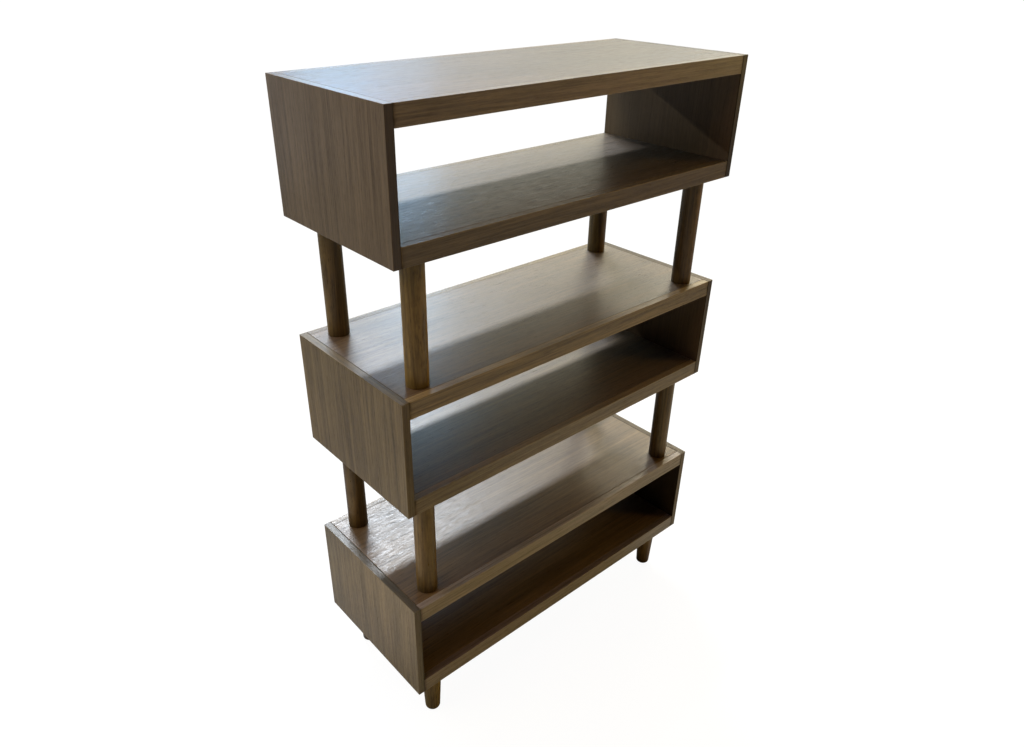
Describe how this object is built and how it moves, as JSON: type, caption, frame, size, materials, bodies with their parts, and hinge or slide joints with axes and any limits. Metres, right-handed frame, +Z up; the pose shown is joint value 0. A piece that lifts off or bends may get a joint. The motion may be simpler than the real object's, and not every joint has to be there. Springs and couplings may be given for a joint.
{
  "type": "open bookcase",
  "caption": "Free-standing open bookcase: long wooden boxes, open front and back, stacked on round wooden posts, on short tapered round feet.",
  "frame": {"origin": "on the floor, at the middle of the footprint", "axes": "+Z up, +X towards the right-hand end, the front faces -Y"},
  "size_m": [1, 0.405, 1.537],
  "materials": {
    "end_panel_wood": "dark grey-brown stained veneer with a straight vertical grain, satin lacquer",
    "panel_wood": "dark grey-brown stained veneer, grain along the length, satin lacquer",
    "lipping_wood": "dark brown stained solid lipping, grain along the length, satin lacquer",
    "post_wood": "dark brown stained turned wood, grain along the axis, satin lacquer",
    "fastener_steel": "zinc-plated steel",
    "glide_plastic": "dark moulded plastic"
  },
  "bodies": {
    "root": {"bottom_box_left_end": "end_panel_wood", "bottom_box_right_end": "end_panel_wood", "bottom_box_bottom_panel": "panel_wood", "bottom_box_bottom_front_lipping": "lipping_wood", "bottom_box_bottom_back_lipping": "lipping_wood", "bottom_box_top_panel": "panel_wood", "bottom_box_top_front_lipping": "lipping_wood", "bottom_box_top_back_lipping": "lipping_wood", "middle_box_left_end": "end_panel_wood", "middle_box_right_end": "end_panel_wood", "middle_box_bottom_panel": "panel_wood", "middle_box_bottom_front_lipping": "lipping_wood", "middle_box_bottom_back_lipping": "lipping_wood", "middle_box_top_panel": "panel_wood", "middle_box_top_front_lipping": "lipping_wood", "middle_box_top_back_lipping": "lipping_wood", "top_box_left_end": "end_panel_wood", "top_box_right_end": "end_panel_wood", "top_box_bottom_panel": "panel_wood", "top_box_bottom_front_lipping": "lipping_wood", "top_box_bottom_back_lipping": "lipping_wood", "top_box_top_panel": "panel_wood", "top_box_top_front_lipping": "lipping_wood", "top_box_top_back_lipping": "lipping_wood", "lower_post_front_left": "post_wood", "lower_post_screw_front_left": "fastener_steel", "lower_post_pin_front_left": "fastener_steel", "lower_post_front_right": "post_wood", "lower_post_screw_front_right": "fastener_steel", "lower_post_pin_front_right": "fastener_steel", "lower_post_back_left": "post_wood", "lower_post_screw_back_left": "fastener_steel", "lower_post_pin_back_left": "fastener_steel", "lower_post_back_right": "post_wood", "lower_post_screw_back_right": "fastener_steel", "lower_post_pin_back_right": "fastener_steel", "upper_post_front_left": "post_wood", "upper_post_screw_front_left": "fastener_steel", "upper_post_pin_front_left": "fastener_steel", "upper_post_front_right": "post_wood", "upper_post_screw_front_right": "fastener_steel", "upper_post_pin_front_right": "fastener_steel", "upper_post_back_left": "post_wood", "upper_post_screw_back_left": "fastener_steel", "upper_post_pin_back_left": "fastener_steel", "upper_post_back_right": "post_wood", "upper_post_screw_back_right": "fastener_steel", "upper_post_pin_back_right": "fastener_steel", "foot_front_left": "post_wood", "foot_glide_front_left": "glide_plastic", "foot_screw_front_left": "fastener_steel", "foot_front_right": "post_wood", "foot_glide_front_right": "glide_plastic", "foot_screw_front_right": "fastener_steel", "foot_back_left": "post_wood", "foot_glide_back_left": "glide_plastic", "foot_screw_back_left": "fastener_steel", "foot_back_right": "post_wood", "foot_glide_back_right": "glide_plastic", "foot_screw_back_right": "fastener_steel"}
  },
  "joints": []
}
